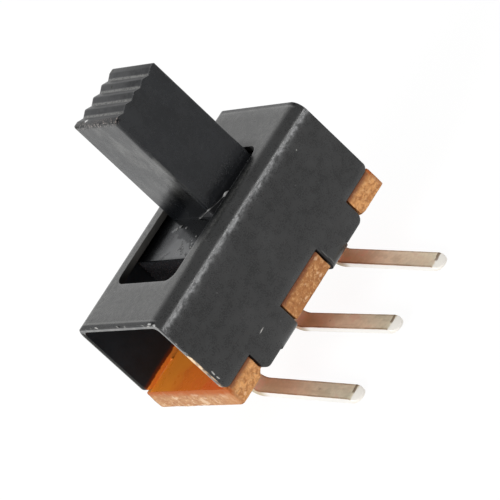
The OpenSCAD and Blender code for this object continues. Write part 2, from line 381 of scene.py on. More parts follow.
class Field:
    """What a shader node puts out, a value or a colour that changes over a surface. Sums and the like of
    fields and numbers add nodes to its tree."""

    def __init__(self, socket):
        self.socket = socket

    def node(self, kind, inputs, output=0, **options):
        """Adds a node to the field's own tree."""
        return node(self.socket.id_data, kind, inputs, output, **options)

    def other(self, output):
        """Another output of the field's node."""
        return Field(self.socket.node.outputs[output])

    __add__ = math_node("ADD")
    __sub__ = math_node("SUBTRACT")
    __rsub__ = math_node("SUBTRACT", swapped=True)
    __mul__ = math_node("MULTIPLY")
    __truediv__ = math_node("DIVIDE")
    __pow__ = math_node("POWER")
    __rpow__ = math_node("POWER", swapped=True)
    __abs__ = math_node("ABSOLUTE")
    root = math_node("SQRT")
    at_least = math_node("MAXIMUM")
    at_most = math_node("MINIMUM")
    less_than = math_node("LESS_THAN")
    without = math_node("SUBTRACT", clamp=True)

    def span(self, low, high, to_low=0.0, to_high=1.0):
        """Carries the field softly from one range to another, and holds it inside."""
        inputs = {"Value": self, "From Min": low, "From Max": high, "To Min": to_low, "To Max": to_high}
        return self.node("ShaderNodeMapRange", inputs, interpolation_type="SMOOTHSTEP")

    def within(self, low, high, to_low=0.0, to_high=1.0, base=0.0):
        """The same as a span, for a range that is given in millimetres from a base in metres."""
        return self.span(base + low * MM, base + high * MM, to_low, to_high)

    def sway(self, reach):
        """The noise about zero instead of a half, as wide as a reach in millimetres."""
        return (self - 0.5) * (reach * MM)

    def mix(self, first, second):
        """Mixes two colours, with this field as the share of the second."""
        return self.node("ShaderNodeMix", {0: self, 6: first, 7: second}, 2, data_type="RGBA")


def highest(*fields):
    """The highest of several fields at each point."""
    return reduce(Field.at_least, fields)


def layered(tone, *layers):
    """Lays colours over a tone, one after the other. Each layer is a mask and a colour."""
    for mask, colour_of in layers:
        tone = mask.mix(tone, colour_of)
    return tone


def times(colour_of, factor):
    """A colour made lighter or darker."""
    return tuple(factor * x for x in colour_of)


def axes(where):
    """The three coordinates of a field of places or directions."""
    x = where.node("ShaderNodeSeparateXYZ", {"Vector": where})
    return x, x.other(1), x.other(2)


def stretched(where, scale):
    """Coordinates stretched along the axes."""
    return where.node("ShaderNodeMapping", {"Vector": where, "Scale": scale})


def noise(where, scale, detail=3.0, rough=0.55, warp=0.0):
    """A noise pattern about 0.5. A scale of three numbers stretches it along the axes."""
    if isinstance(scale, tuple):
        where, scale = stretched(where, scale), 1.0
    inputs = {"Vector": where, "Scale": scale, "Detail": detail, "Roughness": rough, "Distortion": warp}
    return where.node("ShaderNodeTexNoise", inputs)


def bump(height, distance, **normal):
    """A normal tilted by a height."""
    return height.node("ShaderNodeBump", {"Height": height, "Distance": distance, **normal})


def effect(name, output, **inputs):
    """Turns a function that works out one field into a node group that every material shares.

    The function's arguments are the group's inputs: the coordinates, then one for each name given here with
    its default value, where None stands for a vector. The group is built when it is first placed.
    """

    def shared(work_out):
        @wraps(work_out)
        def place(where, **values):
            group = bpy.data.node_groups.get(name)
            if group is None:
                group = bpy.data.node_groups.new(name, "ShaderNodeTree")
                for label, value in {"Vector": None, **inputs}.items():
                    kind = "NodeSocketVector" if value is None else "NodeSocketFloat"
                    socket = group.interface.new_socket(label, in_out="INPUT", socket_type=kind)
                    if value is not None:
                        socket.default_value = value
                kind = "NodeSocketVector" if output == "Normal" else "NodeSocketFloat"
                group.interface.new_socket(output, in_out="OUTPUT", socket_type=kind)
                given = group.nodes.new("NodeGroupInput").outputs
                plug(group.nodes.new("NodeGroupOutput").inputs[0],
                     work_out(*(Field(given[label]) for label in ("Vector", *inputs))))
            return where.node("ShaderNodeGroup", {"Vector": where, **values}, output, node_tree=group)

        return place

    return shared


@effect("Specks", "Mask", Scale=3000.0, Size=0.2, Share=0.1)
def specks(where, scale, size, share):
    """Scattered specks: a cell pattern keeps a small disc in the few cells whose own number is high."""
    wobble = where.node("ShaderNodeTexNoise", {"Vector": where, "Scale": 9000.0}, "Color")
    shift = where.node("ShaderNodeVectorMath", {0: wobble, 1: (6e-5, 6e-5, 6e-5)}, operation="MULTIPLY")
    moved = where.node("ShaderNodeVectorMath", {0: where, 1: shift}, operation="ADD")
    cells = where.node("ShaderNodeTexVoronoi", {"Vector": moved, "Scale": scale}, "Distance")
    number = where.node("ShaderNodeSeparateColor", {"Color": cells.other("Color")})
    return (size - cells).span(0.0, 0.08) * number.less_than(share)


@effect("Mottle", "Mask", Scale=1500.0, Fine=0.4)
def mottle(where, scale, fine):
    """Uneven patches: a coarse noise and a fine one, stretched to fill the range from 0 to 1."""
    mixed = {0: fine, 2: noise(where, scale, 2.0), 3: noise(where, scale * 7.0, 4.0, 0.6)}
    return where.node("ShaderNodeMix", mixed, data_type="FLOAT").span(0.3, 0.7)


@effect("Grain", "Normal", Scale=12000.0, Depth=2e-6, Normal=None)
def grain(where, scale, depth, normal):
    """A fine grain that tilts the surface: two noises, one of them coarse, as the height of a bump."""
    wide = noise(where, scale * 0.16, 2.0)
    return bump(noise(where, scale, 4.0, 0.6) + wide * 3.0, depth, Normal=normal)


@effect("Mark", "Mask", Place=None, Turn=None, Size=None)
def mark(where, place, turn, size):
    """One small mark: an ellipsoid about its place, turned and sized, with a ragged rim."""
    inputs = {"Vector": where, "Location": place, "Rotation": turn, "Scale": size}
    inside = where.node("ShaderNodeMapping", inputs, vector_type="TEXTURE")
    away = where.node("ShaderNodeVectorMath", {0: inside}, "Value", operation="LENGTH")
    return (away + (noise(where, 14000.0, 3.0, 0.7) - 0.5) * 1.6).span(0.7, 1.1, 1.0, 0.0)


def marks(where, rows):
    """The highest mask of several marks. Each row is a place and three half sizes in millimetres, and may end
    with a turn in degrees about Y."""
    found = []
    for place, size, *turn in rows:
        about_y = (0.0, float(np.radians(sum(turn))), 0.0)
        found.append(mark(where, Place=times(place, MM), Turn=about_y, Size=times(size, MM)))
    return highest(*found)


def new_material(name):
    """A material with one Principled shader: returns it and the object coordinates."""
    material = bpy.data.materials.new(name)
    material.use_nodes = True
    return material, node(material.node_tree, "ShaderNodeTexCoord", {}, "Object")


def feed(material, **sockets):
    """Feeds the material's shader and returns the material. Underscores in a name stand for spaces."""
    shader = material.node_tree.nodes["Principled BSDF"]
    for key, value in sockets.items():
        plug(shader.inputs[key.replace("_", " ")], value)
    return material


# ------------------------------------------------------------------------------------------------ finishes

# Black for pits, and for the painted shade in the slit beside each tab.
PIT_AND_SHADE_BLACK = (0.004, 0.004, 0.004)
WORN_SPOT = (0.46, 0.46, 0.45)
BRIGHT_BURR = (0.62, 0.61, 0.58)

# Marks of use, and painted light at the tabs: a place and three half sizes in millimetres, and a turn in
# degrees about Y where there is one.
COVER_MARKS = (
    ((-2.5, -2.7, -3.7), (0.15, 0.2, 0.022), -3), ((-4.98, -2.7, -2.98), (0.03, 0.2, 0.1), 8),
    ((-4.98, -2.7, -3.24), (0.025, 0.2, 0.1), -6), ((3.63, -2.7, -0.99), (0.028, 0.2, 0.028)),
)
# Painted highlight: a light line down a tab's inner edge, standing in for light on its rounded edge.
TAB_EDGE_HIGHLIGHTS = (
    ((1.405, -2.7, -4.22), (0.022, 0.1, 0.22), 3), ((1.425, -2.7, -4.6), (0.022, 0.1, 0.2), 3),
)
# Painted shade: a black line in the slit beside a tab.
TAB_SLIT_SHADES = (
    ((1.345, -2.7, -4.25), (0.04, 0.1, 0.26), 3), ((1.365, -2.7, -4.6), (0.04, 0.1, 0.24), 3),
)
RIM_MARKS = (
    ((-5.09, -2.3, -0.02), (0.05, 0.1, 0.04)), ((-5.09, -2.5, -0.11), (0.05, 0.07, 0.05)),
)
RIM_PITS = (
    ((-5.08, -0.28, 0.0), (0.09, 0.1, 0.09)), ((-5.08, 0.7, 0.0), (0.05, 0.06, 0.05)),
)
EDGE_MARKS = (
    ((-5.1, -2.52, -2.05), (0.1, 0.16, 0.26)), ((-5.1, -2.57, -2.5), (0.1, 0.1, 0.12)),
)
KNOB_MARKS = (((0.36, 0.74, 4.98), (0.085, 0.095, 0.08)),)
THREAD_LIGHTS = (((1.05, -1.39, -0.2), (0.24, 0.2, 0.16)),)
KNOB_STAINS = (
    ((2.74, 1.3, 4.95), (0.12, 0.12, 0.12)), ((0.28, 0.95, 4.97), (0.1, 0.08, 0.06)),
    ((0.14, 1.25, 4.93), (0.07, 0.12, 0.08)), ((1.95, 0.62, 4.97), (0.05, 0.06, 0.06)),
)

# Marks on the carrier's top: a place and two half sizes along X and Y in millimetres.
CARRIER_TOP, THROUGH = -0.36, 0.1
# Pale wisps of dust on the carrier, partly painted reflection.
DUST_AND_SHEEN_WISPS = tuple(((x, y, CARRIER_TOP), (a, b, THROUGH)) for x, y, a, b in (
    (-0.42, 0.93, 0.07, 0.09), (-0.33, 0.84, 0.07, 0.11), (-0.23, 0.68, 0.05, 0.12),
    (-0.29, 0.17, 0.06, 0.08), (-1.08, -0.97, 0.07, 0.09), (-0.93, -0.77, 0.05, 0.06),
))
FILM_CRACKS = tuple(((x, y, CARRIER_TOP), (a, b, THROUGH)) for x, y, a, b in (
    (-0.97, -0.2, 0.06, 0.035), (-1.1, -0.31, 0.08, 0.04), (-1.24, -0.42, 0.08, 0.045),
    (-1.38, -0.54, 0.08, 0.055), (-1.52, -0.66, 0.08, 0.06), (-1.24, -1.04, 0.11, 0.08),
    (-0.95, -0.8, 0.1, 0.08), (-0.38, 0.48, 0.07, 0.15),
))


def black_steel(cover):
    """Black finish on sheet steel: satin, slightly uneven, rubbed thin where the long folds meet the walls with
    a painted highlight along the same line, painted shade beside the knob and along the open ends, a painted
    highlight and shade at the tabs' inner edges, a few scratches and a little dust."""
    material, where = new_material("Black finish")
    x, y, z = axes(where)
    patches = mottle(where, Scale=2600.0, Fine=0.6)
    clouds = noise(where, 420.0, 3.0, 0.6)
    ragged = noise(where, (4200.0, 5200.0, 5200.0), 5.0, 0.75)
    wander = noise(where, (1100.0, 1500.0, 1500.0), 3.0, 0.6)
    uneven = ragged.sway(0.16) + wander.sway(0.12)
    depth = z + uneven
    # The line along each fold is partly worn finish and partly painted highlight, brightest where the lamp's
    # own highlight falls short.
    rise = depth.within(-0.35, -0.46)
    tail = (2.0 ** ((depth + 0.485 * MM) / (0.055 * MM))).at_most(1.0)
    outside = abs(y).within(-0.2, -0.06, base=COVER_SIDE)
    rubbed = rise * tail * outside * ragged.span(0.4, 0.6, 0.2, 1.0) * wander.span(0.35, 0.65, 0.6, 1.0)
    dust = specks(where, Scale=2300.0, Size=0.13, Share=0.16)
    settled = z.within(-0.03, -0.005) * noise(where, 6200.0, 4.0, 0.75).span(0.41, 0.58)
    corner = (cover.slot_length / 2 - cover.slot_corner, cover.slot_width / 2 - cover.slot_corner)
    past_x, past_y = (highest(abs(way) - limit, 0.0) for way, limit in zip((x, y), corner))
    from_slot = (past_x ** 2.0 + past_y ** 2.0).root() - cover.slot_corner
    worn_rim = from_slot.within(0.09, 0.02) * ragged.span(0.38, 0.6) * z.within(-0.05, -0.01)
    beside_knob = x.within(-1.6, -0.9) * y.within(0.0, -0.5)
    worn_rim = worn_rim.without(beside_knob)
    # Painted shade: a darker, more metallic strip beside the slot before the knob stands in for the knob's dark
    # reflection.
    painted_shade = beside_knob * y.within(-2.3, -1.9) * x.within(3.6, 2.4)
    scratches = marks(where, COVER_MARKS)
    settled *= y.within(1.7, 1.95, 0.6, 1.0)
    # Painted shade and highlight at the open ends: a dark band at the edge and a lighter line inside it stand
    # in for light on a rolled-over edge.
    end = abs(x) + ragged.sway(0.05)
    level = z.within(-0.12, -0.03)
    rolled = end.within(-0.15, -0.1, base=COVER_END) * level
    ridge = abs(end - (COVER_END - 0.19 * MM)).within(0.02, 0.05, 1.0, 0.0)
    painted_shade = highest(painted_shade, rolled)
    tone = layered(
        patches.mix(times(cover.finish, 0.6), times(cover.finish, 1.3)),
        (clouds.span(0.4, 0.75), times(cover.finish, 1.6)),
        (rubbed * 0.86, cover.bare),
        (settled, (0.092, 0.092, 0.086)),
        (dust * z.within(-0.03, -0.005, 0.16, 0.45), (0.3, 0.3, 0.3)),
        (worn_rim * 0.7, (0.15, 0.15, 0.145)),
        (scratches * 0.8, BRIGHT_BURR),
        (ridge * level * 0.5, (0.16, 0.16, 0.155)),
        (painted_shade, (0.005, 0.006, 0.007)),
        (marks(where, TAB_SLIT_SHADES), PIT_AND_SHADE_BLACK),
        (marks(where, TAB_EDGE_HIGHLIGHTS) * 0.6, (0.17, 0.17, 0.165)),
        (marks(where, RIM_MARKS), WORN_SPOT),
        (marks(where, RIM_PITS), PIT_AND_SHADE_BLACK),
    )
    return feed(
        material, Base_Color=tone, Roughness=patches.span(0.0, 1.0, 0.24, 0.36), Metallic=painted_shade * 0.5,
        Normal=grain(where, Scale=11000.0, Depth=2.6e-06), IOR=1.6,
    )


def inner_steel():
    """The cover's inside: the same finish, duller and never rubbed, with a painted reflection of the orange
    board along its foot.
    """
    material, where = new_material("Inner finish")
    patches = mottle(where, Scale=1300.0, Fine=0.5)
    z = axes(where)[2]
    height = z + patches.sway(0.06)
    tone = layered(
        patches.mix((0.01, 0.013, 0.016), (0.016, 0.02, 0.024)),
        # Painted reflection: a dark red band, then an orange one, where the inner wall meets the board.
        (height.within(0.36, 0.17, base=BOARD_TOP), (0.16, 0.03, 0.006)),
        (height.within(0.19, 0.13, base=BOARD_TOP), (0.96, 0.31, 0.045)),
    )
    return feed(
        material, Base_Color=tone, Roughness=patches.span(0.0, 1.0, 0.45, 0.6),
        Normal=grain(where, Scale=9000.0, Depth=1.4e-06), IOR=1.3,
    )


def cut_steel(cover):
    """Cut edge of the sheet: dark round the slot, greyer at the open ends, with a bright burr in places and
    the paler rub of the board's dust low on the front wall."""
    material, where = new_material("Cut edge")
    x, y, z = axes(where)
    patches = noise(where, 3500.0, 4.0, 0.6)
    at_end = abs(x).within(-0.12, -0.04, base=COVER_END)
    outer = highest(z.within(-0.15, -0.11), y.within(0.15, 0.11, base=COVER_LOW[1]))
    back = y.within(-0.3, -0.22, base=COVER_SIDE) * z.within(-0.15, -0.4)
    skin = back * y.within(-0.07, -0.04, base=COVER_SIDE)
    bright = patches.span(0.56, 0.7) * at_end * outer
    low = z + patches.sway(1.2)
    dusty = low.within(-1.9, -2.2) * at_end * (y + x).within(-5.0, -6.0)
    slot_back = y.within(-0.3, -0.1, base=cover.slot_width / 2) * (1.0 - at_end)
    near_knob = x.within(-2.7, -1.4)
    tone = layered(
        at_end.mix(cover.finish, times(cover.finish, 7.5)),
        (patches.span(0.4, 0.6) * at_end, (0.26, 0.26, 0.255)),
        (outer * 0.9, (0.03, 0.03, 0.031)),
        (back, (0.016, 0.016, 0.014)),
        (slot_back, near_knob.mix((0.012, 0.012, 0.011), (0.06, 0.058, 0.054))),
        (skin * at_end, (0.2, 0.2, 0.19)),
        (dusty * patches.span(0.42, 0.58, 0.15, 0.8), (0.62, 0.44, 0.28)),
        (marks(where, EDGE_MARKS), (0.86, 0.66, 0.44)),
        (bright * 0.7, BRIGHT_BURR),
        (marks(where, RIM_MARKS), WORN_SPOT),
        (marks(where, RIM_PITS), PIT_AND_SHADE_BLACK),
    )
    return feed(
        material, Base_Color=tone, Roughness=patches.span(0.3, 0.7, 0.42, 0.3),
        Normal=grain(where, Scale=9000.0, Depth=3e-06), IOR=1.12,
    )


def phenolic_face(board):
    """Smooth resin face of the board, with the paper's grain just visible under it, and a painted highlight
    along the foot of the cover's walls.
    """
    material, where = new_material("Phenolic face")
    paper = noise(where, (900.0, 2600.0, 900.0), 4.0, 0.6)
    patches = mottle(where, Scale=500.0, Fine=0.3)
    y = axes(where)[1]
    across = y + patches.sway(1.5)
    torn = noise(where, 3000.0, 4.0, 0.65)
    inner = COVER_SIDE - SHEET
    # Painted highlight: a pale orange line along the foot of each inner wall.
    foot = abs(y) + torn.sway(0.1)
    foot = foot.within(-0.09, -0.04, base=inner) * torn.span(0.38, 0.55)
    tone = layered(
        paper.span(0.3, 0.7).mix(board.face, times(board.face, 0.94)),
        (patches * 0.35, (0.86, 0.17, 0.018)),
        (across.within(-0.3, -1.4, 0.0, 0.8), (0.98, 0.165, 0.036)),
        (across.within(0.4, 1.8, 0.0, 0.9), (0.99, 0.315, 0.033)),
        (foot * 0.7, (0.95, 0.42, 0.13)),
    )
    return feed(
        material, Base_Color=tone, Roughness=patches.span(0.0, 1.0, 0.22, 0.34),
        Normal=grain(where, Scale=7000.0, Depth=2e-06),
    )


def phenolic_core(board):
    """Punched edge of the board: torn paper layers, pale where the fibres stand out, brown between them and
    deep red where the punch drew the upper edge down, a red that also paints the shadow under the cover's
    walls."""
    material, where = new_material("Phenolic core")
    x, y, z = axes(where)
    sheets = noise(where, (5200.0, 5200.0, 6500.0), 3.0, 0.55, 0.4)
    flakes = noise(where, (3000.0, 2600.0, 3600.0), 3.0, 0.5, 0.6)
    coarse = noise(where, (1500.0, 1500.0, 2400.0), 3.0, 0.6)
    fine = noise(where, 9000.0, 3.0, 0.6, 0.4)
    pits = specks(stretched(where, (0.8, 0.8, 1.3)), Scale=5200.0, Size=0.42, Share=0.12)
    tufts = specks(stretched(where, (0.9, 0.9, 1.5)), Scale=3300.0, Size=0.4, Share=0.16)
    out = abs(x)
    at_end = out.within(-0.2, -0.1, base=BOARD_END)
    tone = layered(
        sheets.span(0.35, 0.64).mix((0.48, 0.185, 0.052), board.core),
        (out.within(1.4, 2.4, 0.62, 0.0), (0.36, 0.13, 0.035)),
        (fine.span(0.5, 0.66, 0.0, 0.55), (0.92, 0.54, 0.25)),
        (coarse.span(0.45, 0.7, 0.0, 0.35), (0.5, 0.19, 0.05)),
        (pits * 0.22, (0.26, 0.08, 0.02)),
        (tufts * 0.5, (0.98, 0.66, 0.42)),
    )
    run = z + sheets.sway(0.34) - y * 0.02
    pale = layered(
        sheets.span(0.32, 0.64).mix((0.45, 0.185, 0.075), (0.61, 0.335, 0.158)),
        (flakes.span(0.46, 0.58, 0.0, 0.55), (0.47, 0.21, 0.088)),
        (flakes.span(0.44, 0.34, 0.0, 0.75), (0.84, 0.6, 0.4)),
        (fine.span(0.52, 0.7, 0.0, 0.55), (0.84, 0.57, 0.35)),
        (y.within(-1.5, -2.4, 0.0, 0.65), (0.56, 0.235, 0.08)),
        (run.within(-0.4, -0.06, base=BOARD_TOP), (0.46, 0.108, 0.012)),
    )
    # Deep red along the upper edge: partly resin where the punch drew it down, partly painted shadow under the
    # wall's edge.
    under = z + sheets.sway(0.34)
    drawn = under.within(-0.26, -0.06, base=BOARD_TOP)
    tone = layered(tone, (at_end, pale), (drawn * (1.0 - at_end) * 0.85, (0.17, 0.04, 0.012)))
    return feed(material, Base_Color=tone, Roughness=0.7, Normal=bump(sheets + fine * 0.3, 2.6e-05))


def tinned_metal(terminals):
    """Thin tinning on copper alloy: creamy at the tips, brown and stained towards the board, with a painted
    dark reflection where each tip's bevel starts, a painted bright reflection on the side faces and a painted
    highlight on each tip's bevel."""
    material, where = new_material("Tinned legs")
    x, y, _ = axes(where)
    stain = noise(where, (1800.0, 1100.0, 1800.0), 4.0, 0.6)
    uneven = stain.sway(1.6)
    away = uneven - y + x.within(2.0, 2.6, 0.0, 0.9 * MM)
    tinned = away.within(0.9, 4.8)
    dark = specks(where, Scale=3000.0, Size=0.22, Share=0.1)
    streak = noise(where, (5200.0, 500.0, 5200.0), 3.0)
    bands = noise(where, (1500.0, 900.0, 1500.0), 3.0, 0.6)
    bevel = terminals.reach - terminals.tip_bevel
    jitter = stain.sway(0.25)
    off = abs(y + jitter + bevel)
    beside = where.node("ShaderNodeMath", {0: x, 1: LEG_PITCH / 2, 2: -LEG_PITCH / 2}, operation="WRAP")
    # Painted reflection: a dark line where each tip's bevel starts.
    line = off.within(0.03, 0.07, 1.0, 0.0) * beside.within(-0.08, 0.04)
    aside = abs(beside)
    half = terminals.leg_width / 2
    facing_x, _, facing_z = axes(where.other("Normal"))
    rim = aside.within(-0.1, -0.02, base=half) * facing_z.span(0.45, 0.6) * stain.span(0.3, 0.6, 0.35, 0.9)
    # Painted reflection: the legs' side faces get a near-white mirror colour.
    side = abs(facing_x).span(0.6, 0.8) * y.within(-0.3, -0.9)
    # Painted highlight: a near-white, less metallic colour on each tip's bevel.
    tip = (jitter - y).within(0.0, 0.08, base=bevel)
    rough = stain.span(0.3, 0.7, 0.34, 0.48) + streak * 0.08
    drawn = bump(streak + stain, 4e-06)
    metallic = highest(tip.span(0.0, 1.0, 0.4, 0.1), side * 0.9)
    tone = layered(
        tinned.mix(terminals.copper, terminals.tin),
        (dark * 0.3, (0.22, 0.13, 0.07)),
        (streak.span(0.5, 0.75, 0.0, 0.22), (0.42, 0.3, 0.2)),
        (noise(where, 5200.0, 4.0, 0.7).span(0.35, 0.7, 0.12, 0.0), (0.2, 0.16, 0.11)),
        (bands.span(0.53, 0.66, 0.0, 0.5), (0.74, 0.46, 0.35)),
        (bands.span(0.47, 0.36, 0.0, 0.28), (0.46, 0.42, 0.26)),
        (rim, (0.32, 0.2, 0.1)),
        (side, (0.99, 0.975, 0.93)),
        (tip, (0.97, 0.93, 0.86)),
        (line * 0.8, (0.17, 0.1, 0.05)),
    )
    return feed(material, Base_Color=tone, Metallic=metallic, Roughness=rough, Normal=drawn)


def black_plastic(slider):
    """Moulded black plastic: satin, with faint flow marks, cracked dust on the carrier before the knob whose
    outline also paints the lit patch there, painted shade on the rest of the carrier's top and at the knob's
    foot, painted fill light low down, a little dust elsewhere, and worn spots on the ridges."""
    material, where = new_material("Black plastic")
    x, y, z = axes(where)
    flow = noise(where, (700.0, 1200.0, 300.0), 4.0, 0.6, 0.5)
    patches = mottle(where, Scale=1100.0, Fine=0.45)
    dust = specks(where, Scale=2300.0, Size=0.09, Share=0.05)
    wander = noise(where, 1500.0, 4.0, 0.6)
    # Dust on the carrier, cut along the shade of the knob and of the slot's edge, so it is partly painted
    # reflection.
    edge = x - y * 0.42 + wander.sway(0.7)
    near = edge.within(-0.86, -0.76, 1.0, 0.0)
    level = z.within(-0.42, -0.38) * z.within(-0.32, -0.28, 1.0, 0.0)
    aside = y + x * 0.2 + wander.sway(0.5)
    dust_and_sheen = near * level * aside.within(0.0, 0.75, 1.0, 0.0)
    slant = y - x + wander.sway(0.9)
    dust_and_sheen *= slant.within(0.06, 0.24)
    dust_and_sheen *= x.within(-1.84, -1.62, 0.2, 1.0)
    wisps = marks(where, DUST_AND_SHEEN_WISPS) * level
    dust_and_sheen = highest(dust_and_sheen, wisps)
    # Painted shade: the rest of the carrier's top.
    low = level.without(dust_and_sheen)
    cells = {"Vector": stretched(where, (1.0, 0.5, 1.0)), "Scale": 1500.0}
    cracks = where.node("ShaderNodeTexVoronoi", cells, "Distance", feature="DISTANCE_TO_EDGE")
    cracked = cracks.span(0.02, 0.07, 1.0, 0.0) * wander.span(0.5, 0.58)
    cracked = highest(cracked * 0.6, marks(where, FILM_CRACKS)) * dust_and_sheen
    dust_and_sheen = dust_and_sheen.without(cracked) * patches.span(0.0, 1.0, 0.25, 1.0)
    dust_and_sheen = highest(dust_and_sheen, wisps * 1.25)
    # Painted fill light: the plastic is lighter from just above the cover's top downwards, to lift the shade
    # there.
    painted_fill_light = z.within(0.5, -0.1)
    # Painted shade: the knob's foot is darkened as a dark reflection of the slot.
    shade = z + y * 0.48 + wander.sway(0.75)
    face = x.within(0.1, 0.05, base=KNOB_FACE)
    foot = shade.within(1.27, 1.03) * face
    foot = highest(foot * z.within(-0.3, -0.25), low)
    tilt = (x - KNOB_FACE) * 0.215 + (y + KNOB_HALF) * 0.28
    rise = z + tilt + wander * (0.05 * MM)
    grip = z.within(4.75, 4.85) * abs(y).within(1.34, 1.3) * x.within(0.04, 0.09, base=KNOB_FACE)
    skirt = rise.within(0.09, 0.03) * z.within(-0.33, -0.3) * y.within(-0.2, -0.9)
    foot = foot.without(skirt)
    streaks = noise(where, (900.0, 1300.0, 620.0), 6.0, 0.7, 0.3)
    rubbed = face * z.within(0.2, 1.5) * streaks.span(0.42, 0.6, 0.2, 1.0) * y.within(-0.1, 0.6, 1.0, 0.65)
    crumbs = noise(where, 12000.0, 3.0, 0.7)
    groove = z.within(4.925, 4.895) * crumbs.span(0.36, 0.58, 0.2, 1.0)
    groove = groove * grip * x.within(0.3, 0.38) * x.within(2.7, 2.62)
    burr = z.within(4.78, 4.88) * x.within(0.4, 0.3)
    burr_dark = burr * crumbs.span(0.54, 0.42)
    white = marks(where, KNOB_MARKS)
    stain = marks(where, KNOB_STAINS)
    dull = grip * patches.span(0.0, 1.0, 0.75, 0.15)
    dull = highest(dull, burr_dark * 0.7, stain)
    # Painted shade: the knob's foot and the carrier's top are made duller and more metallic.
    painted_shade_dull = foot * y.within(0.2, -0.5, 0.62, 0.8)
    painted_shade_dull = highest(painted_shade_dull, low * 0.9)
    dull = highest(dull * 0.9, painted_shade_dull)
    dull = dull.without(highest(groove, white))
    rough = patches.span(0.0, 1.0, 0.18, 0.28) + flow.span(0.3, 0.7, 0.0, 0.06) + highest(dust_and_sheen, grip) * 0.16
    sunk = bump(flow * 0.06 - cracked, 3e-05)
    tone = layered(
        flow.span(0.3, 0.7).mix(slider.plastic, times(slider.plastic, 1.7)),
        (dust * 0.35, (0.45, 0.45, 0.45)),
        (painted_fill_light, (0.016, 0.017, 0.019)),
        # Painted fill light: the plastic below the carrier's top is lighter.
        (z.within(-0.4, -0.6), (0.022, 0.022, 0.025)),
        (dust_and_sheen, slider.dust),
        (skirt, (0.03, 0.03, 0.032)),
        (foot, (0.014, 0.016, 0.019)),
        (rubbed, (0.084, 0.085, 0.082)),
        (groove, (0.18, 0.18, 0.172)),
        (burr * crumbs.span(0.55, 0.66), (0.26, 0.21, 0.19)),
        (burr_dark, (0.006, 0.006, 0.006)),
        (white, (0.9, 0.9, 0.88)),
        (stain, (0.01, 0.012, 0.004)),
    )
    return feed(
        material, Base_Color=tone, Roughness=rough, Metallic=dull,
        Normal=grain(where, Scale=9000.0, Depth=1.2e-06, Normal=sunk), IOR=1.65,
    )


def rubbed_plastic(name, colour_of, pale=()):
    """Black plastic rubbed to a dull grey, paler in its lumps and at its pale spots."""
    material, where = new_material(name)
    patches = mottle(where, Scale=2600.0, Fine=0.4)
    tone = patches.mix(times(colour_of, 0.35), colour_of)
    if pale:
        tone = marks(where, pale).mix(tone, (0.52, 0.52, 0.51))
    return feed(
        material, Base_Color=tone, Roughness=patches.span(0.0, 1.0, 0.4, 0.6),
        Normal=grain(where, Scale=12000.0, Depth=4e-06),
    )


def rolled_bronze(slider):
    """Rolled spring bronze, drawn in fine lines along the strip, with darker oxide patches."""
    material, where = new_material("Rolled bronze")
    lines = noise(where, (700.0, 9000.0, 9000.0), 3.0)
    oxide = mottle(where, Scale=1300.0, Fine=0.4)
    drawn = bump(lines, 2e-06)
    tone = (oxide * 0.6).mix(slider.bronze, times(slider.bronze, 0.5))
    return feed(
        material, Base_Color=tone, Metallic=1.0, Roughness=oxide.span(0.0, 1.0, 0.25, 0.42), Normal=drawn,
    )


# --------------------------------------------------------------------------------------------------- cover


def folded(cover, x, across, depth=0.0, ear=False):
    """Carries points of the flat blank into the folded cover.

    A point's distance from the middle line is kept as length along the outside: flat over the top, round the
    long fold, straight down the wall and, on an ear, round its own fold and flat under the board. The depth
    is measured into the sheet.
    """
    side, s = np.sign(across), np.abs(across)
    flat = COVER_SIDE - cover.fold
    turn = np.clip((s - flat) / cover.fold, 0, np.pi / 2)
    down = np.maximum(s - flat - cover.fold * np.pi / 2, 0)
    y = np.minimum(s, flat) + (cover.fold - depth) * np.sin(turn)
    z = (cover.fold - depth) * np.cos(turn) - cover.fold - down
    if ear:
        outer = cover.ear_fold + cover.sheet
        straight = -cover.fold - (BOARD_FOOT + cover.ear_fold)
        curl = np.clip((down - straight) / outer, 0, np.pi / 2)
        under = np.maximum(down - straight - outer * np.pi / 2, 0)
        y_ear = COVER_SIDE - outer + (outer - depth) * np.cos(curl) - under
        z_ear = -cover.fold - np.minimum(down, straight) - (outer - depth) * np.sin(curl)
        y, z = np.where(down > 0, y_ear, y), np.where(down > 0, z_ear, z)
    x = np.broadcast_to(x, y.shape)
    return np.stack([x, np.where(side < 0, -y, y), z], axis=-1)


